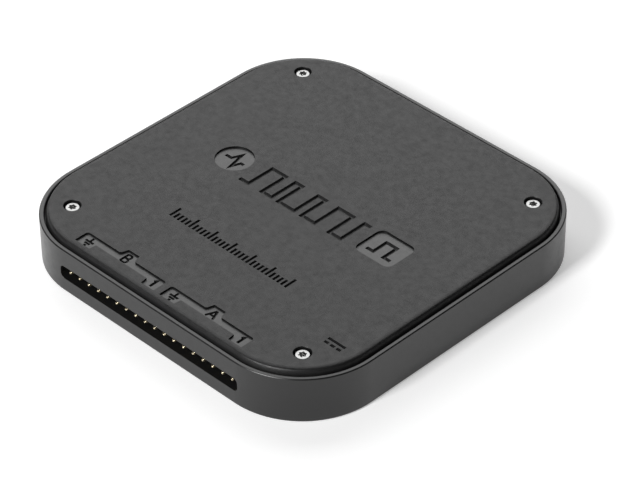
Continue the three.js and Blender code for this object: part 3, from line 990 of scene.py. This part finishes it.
def via_places():
    """Where the plated holes are: a row near each edge of the board, and two groups of nine."""
    vias = []
    for i in range(-3, 4):
        vias += [(i * 6.2, 35.2), (i * 3.9, -35.4), (35.2, i * 3.6), (-35.2, i * 3.6)]
    for i in range(9):
        row, column = divmod(i, 3)
        vias += [(10.5 + 1.9 * column, -3.5 + 2.1 * row), (-13.0 + 1.3 * column, 4.0 + 1.9 * row)]
    return vias


def film(name, outlines, material, height):
    """Thin printed or plated shapes on the board's top."""
    low, high = BOARD_TOP - OVERLAP, BOARD_TOP + height
    shapes = [prism("film", outline, low, high) for outline in outlines]
    fixed(soften(join(name, shapes)), material, "circuit_board")


def ring_plate(name, places, inner, outer, material):
    """Flat annular pads round holes."""
    low, high = BOARD_TOP - OVERLAP, BOARD_TOP + COPPER
    profile = [(inner, low), (outer, low), (outer, high), (inner, high)]
    rings = [[at_level(circle(r, 24, place), z) for r, z in profile] for place in places]
    pads = [lofted("ring", ring, closed=True) for ring in rings]
    fixed(soften(join(name, pads)), material, "circuit_board")


def make_board_surface():
    route_copper()
    film("board_copper", COPPER_LINES, MASKED_COPPER, COPPER)
    film("board_pads", SOLDER_PADS, TINNED_STEEL, PAD)
    for chip in ("logic_chip", "usb_controller_chip", "memory_chip"):
        centre, half = middle_mm(chip)
        printed_box(centre, half.x + 0.55, half.y + 0.55)
    film("board_printing", PRINTED_LINES, WHITE_INK, INK)
    ring_plate("board_vias", via_places(), 0.15, 0.32, TINNED_STEEL)
    screws = [middle_mm(f"board_screw_{corner}")[0].xy for corner in CORNERS]
    ring_plate("board_screw_pads", screws, 1.15, 2.4, GOLD)


# ---- Headers, socket, light and board screws ----
def bent_wire(name, x, stations):
    """A rectangular wire in a plane of one x, through (y, z, heading, half width, half height)."""
    rings = []
    for y, z, heading, across, deep in stations:
        section = rounded(across, deep, min(across, deep) * 0.25, 2)
        rings.append([(x + a, y - b * sin(heading), z + b * cos(heading)) for a, b in section])
    return soften(lofted(name, rings[::-1]), 40)


def right_angle(tip_y, root_y, level, foot_z, tip, across, deep, taper):
    """Stations of a wire from its tip along Y, round a bend, and down to its foot."""
    way = 1 if root_y > tip_y else -1
    bend = 0.55
    down = -way * pi / 2
    stations = [(tip_y, level, 0, *tip), (tip_y + way * taper, level, 0, across, deep)]
    for i in range(5):
        angle = i / 4 * pi / 2
        y = root_y - way * bend * (1 - sin(angle))
        z = level - bend * (1 - cos(angle))
        stations.append((y, z, -way * angle, across, deep))
    stations.append((root_y, foot_z + 0.2, down, across, deep))
    stations.append((root_y, foot_z, down, across * 0.7, deep * 0.7))
    return stations


def notched_strip(name, centre, half, first):
    """The plastic of a header: one cell per pin, with a notch on both sides where two cells meet."""
    notch = 0.42
    front = []
    for way in range(WAYS):
        x0 = max(pin_x(first + way) - PITCH / 2, centre.x - half.x)
        x1 = min(pin_x(first + way) + PITCH / 2, centre.x + half.x)
        front += [(x0, notch - half.y), (x0 + notch, -half.y), (x1 - notch, -half.y)]
    front.append((centre.x + half.x, notch - half.y))
    rear = [(x, -y) for x, y in reversed(front)]
    outline = [(x, centre.y + y) for x, y in front + rear]
    return prism(name, outline, centre.z - half.z, centre.z + half.z)


def make_header(bank, first):
    """A nine-way header: nine notched cells of plastic and nine bent pins with tapered tips."""
    centre, half = middle_mm(f"header_{bank}_body")
    strip = notched_strip(f"header_{bank}_strip", centre, half, first)
    fixed(bevelled(strip, 0.06), BLACK_PLASTIC, "black_plastic", f"header_{bank}_body")
    stations = right_angle(PIN_LOW.y, PIN_ROOT, PIN_LEVEL, PIN_LOW.z, (0.13, 0.13), PIN_HALF, PIN_HALF, 0.26)
    for way in range(WAYS):
        label = "ground" if way == 0 else str(WAYS - way)
        pin = bent_wire(f"header_{bank}_wire_{label}", pin_x(first + way), stations)
        fixed(pin, GOLD, "gold_plate", f"header_{bank}_pin_{label}")


def make_pin_solder():
    """A fillet of solder round each header pin, above and below the board."""
    above = [(0.86, BOARD_TOP - OVERLAP), (0.62, BOARD_TOP + 0.12), (0.42, BOARD_TOP + 0.38)]
    below = [(0.36, BOARD_BOTTOM - 0.5), (0.6, BOARD_BOTTOM - 0.14), (0.86, BOARD_BOTTOM + OVERLAP)]
    cones = []
    for i in range(2 * WAYS):
        cones += [turned("solder", profile, (pin_x(i), PIN_ROOT), 20) for profile in (above, below)]
    fixed(soften(join("pin_solder", cones), 60), SOLDER, "bright_steel")


def rounded_polygon(points, radius, steps=4):
    """An outline whose corners are rounded."""
    made = []
    for i, here in enumerate(points):
        here = Vector(here)
        back = (Vector(points[i - 1]) - here).normalized()
        on = (Vector(points[(i + 1) % len(points)]) - here).normalized()
        half = back.angle(on) / 2
        centre = here + (back + on).normalized() * radius / sin(half)
        first, last = here + back * radius / tan(half), here + on * radius / tan(half)
        for k in range(steps + 1):
            middle = first.lerp(last, k / steps) - centre
            made.append(tuple(centre + middle.normalized() * radius))
    return made


def usb_outline(inset):
    """The D-shaped socket in X and Z, moved in by a distance: narrower below its shoulders."""
    half = USB_HIGH.x - inset
    low, high = USB_LOW.z + inset, USB_HIGH.z - inset
    right = [(half - 0.95, low), (half - 0.5, low + 0.95), (half, low + 1.55), (half, high)]
    left = [(-x, z) for x, z in reversed(right)]
    return rounded_polygon(right + left, 0.5 - inset * 0.6)


def usb_shell():
    """The folded steel shell, with a spring window on each side of its top and a seam below."""
    front, back, middle = USB_HIGH.y, USB_LOW.y, (USB_HIGH.y + USB_LOW.y) / 2
    lip = 0.1
    rings = [
        (lip, back), (0, back + lip), (0, front - lip), (lip, front),
        (USB_SHEET - lip, front), (USB_SHEET, front - lip), (USB_SHEET, back),
    ]
    shell = lofted("usb_shell_sheet", [at_depth(usb_outline(inset), y) for inset, y in rings], closed=True)
    low, high = USB_HIGH.z - USB_SHEET - 0.3, USB_HIGH.z + 1
    cutters = [block("window", 0.45, 1.4, low, high, (side * 2.1, middle + 0.3), 0.2) for side in (-1, 1)]
    low, high = USB_LOW.z - 1, USB_LOW.z + USB_SHEET + 0.2
    cutters.append(block("seam", 0.05, 6.0, low, high, (0, middle), 0.02))
    combine(shell, join("windows", cutters))
    return shell


def usb_insulator(contacts):
    """The plug of plastic at the back of the socket, its tongue and the grooves for the contacts."""
    back, tip = (corner.y for corner in box_mm("usb_insulator"))
    level = (USB_LOW.z + USB_HIGH.z) / 2
    tongue_back = back + 0.7
    plug = lofted("plug", [at_depth(usb_outline(USB_SHEET + 0.06), y) for y in (back, back + 2.3)])
    tongue = block("tongue", 2.4, (tip - tongue_back) / 2, level - 0.35, level + 0.75,
                   (0, (tip + tongue_back) / 2), 0.25)
    combine(plug, tongue, "UNION")
    grooves = []
    for node in contacts:
        centre, half = middle_mm(node)
        groove_at = (centre.x, centre.y)
        grooves.append(block("groove", 0.27, half.y + 0.4, level - 0.6, level - 0.1, groove_at, 0.05))
    combine(plug, join("grooves", grooves))
    plug.name = "usb_tongue"
    return plug


def make_usb():
    """The socket: a steel shell, an insulator with its tongue, and five contacts."""
    fixed(soften(usb_shell()), TINNED_STEEL, "bright_steel", "usb_shell")
    contacts = [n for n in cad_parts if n.startswith("usb_contact_")]
    fixed(bevelled(usb_insulator(contacts), 0.04), BLACK_PLASTIC, "black_plastic", "usb_insulator")
    half_thick, half_wide = 0.1, 0.2
    for node in contacts:
        centre, half, low, high, _ = stand_mm(node)
        stations = right_angle(
            centre.y + half.y, centre.y - half.y + half_thick, high - half_thick, low,
            (0.12, 0.06), half_wide, half_thick, 0.4)
        wire = bent_wire(node.replace("contact", "spring"), centre.x, stations)
        fixed(wire, GOLD, "gold_plate", node)


def make_status_light():
    """The light's white case with its domed lens."""
    _, half, low, high, at = stand_mm("status_led")
    case = join("status_led_case", [
        block("case", half.x, half.y, low, low + 0.45, at, 0.1),
        block("lens", half.x - 0.3, half.y - 0.12, low + 0.4, high, at, 0.25),
    ])
    fixed(bevelled(case, 0.06, 3), LED_BODY, "led_body", "status_led")


def make_light_pipe():
    """The pipe that carries the status light to the rear wall: a block over it and a round stem."""
    stem_back = middle_mm("status_led")[0].y + 1.0
    foot_front = stem_back + 0.2
    rounding = [(PIPE_RADIUS - along, PIPE_HIGH.y - away) for away, along in fillet(0.35, 4)]
    profile = [(PIPE_RADIUS, stem_back), *rounding]
    stem = lofted("stem", [at_depth(circle(r, 32, (PIPE_X, PIPE_LEVEL)), y) for r, y in profile])
    foot = block("foot", 1.3, (foot_front - PIPE_LOW.y) / 2, PIPE_LOW.z, PIPE_HIGH.z,
                 (PIPE_X, (foot_front + PIPE_LOW.y) / 2), 0.3)
    combine(stem, foot, "UNION")
    stem.name = "light_pipe_moulding"
    fixed(soften(stem), CLEAR_PLASTIC, "clear_plastic", "light_pipe")


def make_board_screw(node):
    """A pan-head machine screw with a six-lobe recess."""
    _, half, low, high, at = stand_mm(node)
    dome = [(half.x - along * 0.6, high - away) for away, along in fillet(0.6, 6)]
    profile = threaded(0.6, BOARD_TOP - 0.3, low, 0.3, 0.1)
    profile += [(0.6, BOARD_TOP), (half.x - 0.05, BOARD_TOP + 0.02), (half.x, BOARD_TOP + 0.08), *dome]
    screw = turned(f"{node}_turned", profile, at, 40)
    combine(screw, prism("recess", six_lobe(0.62, at), high - 0.42, high + 1))
    fixed(soften(screw), SCREW_STEEL, "screw_steel", node)


# ---- Build ----
make_housing()
make_cover()
for corner in CORNERS:
    make_cover_screw(corner)
for bank, first_way in (("b", 0), ("a", WAYS)):
    make_header(bank, first_way)
make_pin_solder()
make_usb()
make_status_light()
make_light_pipe()
for corner in CORNERS:
    make_board_screw(f"board_screw_{corner}")
make_chips()
make_tantalum("input_capacitor")
make_tantalum("output_capacitor")
make_crystal()
make_coil()
make_small_passives()
make_board_surface()
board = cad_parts["circuit_board"]
board.data.materials.clear()
board.data.materials.append(BOARD_GREEN)
